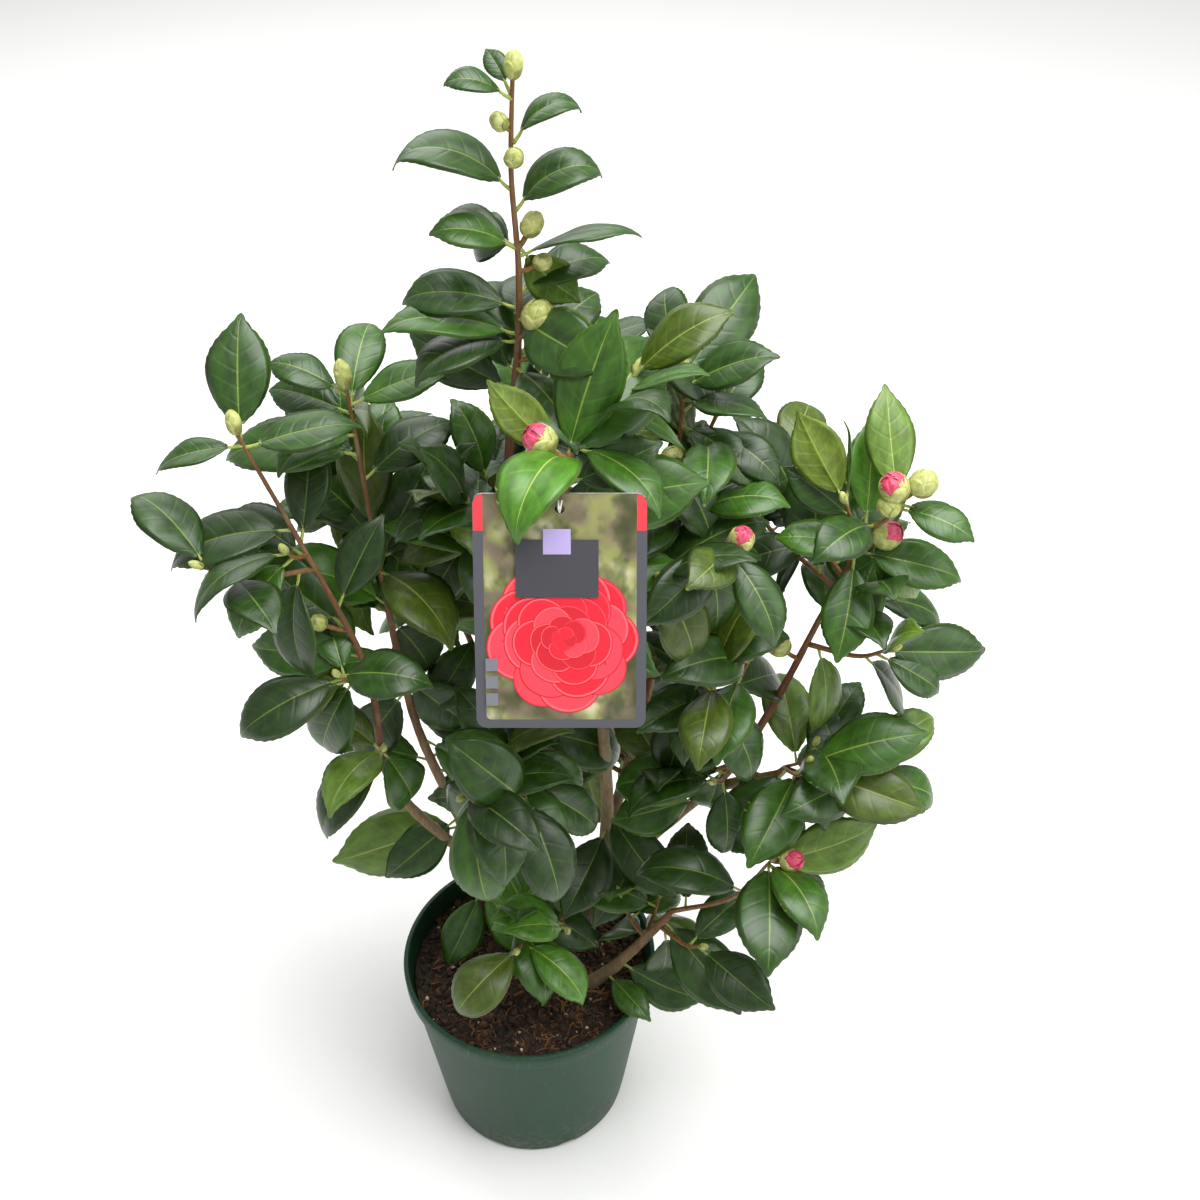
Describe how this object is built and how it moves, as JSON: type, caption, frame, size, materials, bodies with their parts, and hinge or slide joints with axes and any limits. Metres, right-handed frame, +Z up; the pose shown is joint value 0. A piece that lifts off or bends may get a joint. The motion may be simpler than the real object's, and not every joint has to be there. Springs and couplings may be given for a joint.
{
  "type": "potted camellia shrub",
  "caption": "Potted camellia shrub: stems and boughs carry separate masses of glossy evergreen leaves above a tapered nursery pot, with a picture card tied on.",
  "frame": {"origin": "middle of the pot's flat underside, on the surface that the pot stands on", "axes": "+Z up along the pot's axis, -Y towards the side that carries the picture card, +X to the right as seen from that side"},
  "size_m": [0.4952, 0.337, 0.8469],
  "materials": {
    "pot_plastic": "satin",
    "compost": "matte",
    "bark": "matte",
    "foliage": "satin",
    "card": "satin",
    "tie": "satin"
  },
  "bodies": {
    "root": {"pot": "pot_plastic", "soil": "compost", "back_bough": "bark", "back_left_bough": "bark", "back_right_bough": "bark", "centre_stem": "bark", "inner_right_branch": "bark", "left_inner_stem": "bark", "left_outer_bough": "bark", "low_right_bough": "bark", "right_bough": "bark", "right_side_branch": "bark", "trunk": "bark", "upper_right_bough": "bark", "leaves_back_left": "foliage", "leaves_back_left_top": "foliage", "leaves_back_low": "foliage", "leaves_back_middle": "foliage", "leaves_back_right": "foliage", "leaves_back_right_top": "foliage", "leaves_back_top": "foliage", "leaves_centre_front": "foliage", "leaves_centre_left": "foliage", "leaves_centre_right": "foliage", "leaves_foot_front": "foliage", "leaves_foot_right": "foliage", "leaves_front_low": "foliage", "leaves_inner_right": "foliage", "leaves_leader_low": "foliage", "leaves_leader_middle": "foliage", "leaves_leader_upper": "foliage", "leaves_left_foot": "foliage", "leaves_left_inner_top": "foliage", "leaves_left_low": "foliage", "leaves_left_middle": "foliage", "leaves_left_outer_low": "foliage", "leaves_left_outer_top": "foliage", "leaves_low_right": "foliage", "leaves_lower_right": "foliage", "leaves_right_low": "foliage", "leaves_right_middle": "foliage", "leaves_right_top": "foliage", "leaves_top": "foliage", "leaves_upper_centre": "foliage", "leaves_upper_right": "foliage", "label": "card", "label_tie": "tie"}
  },
  "joints": []
}
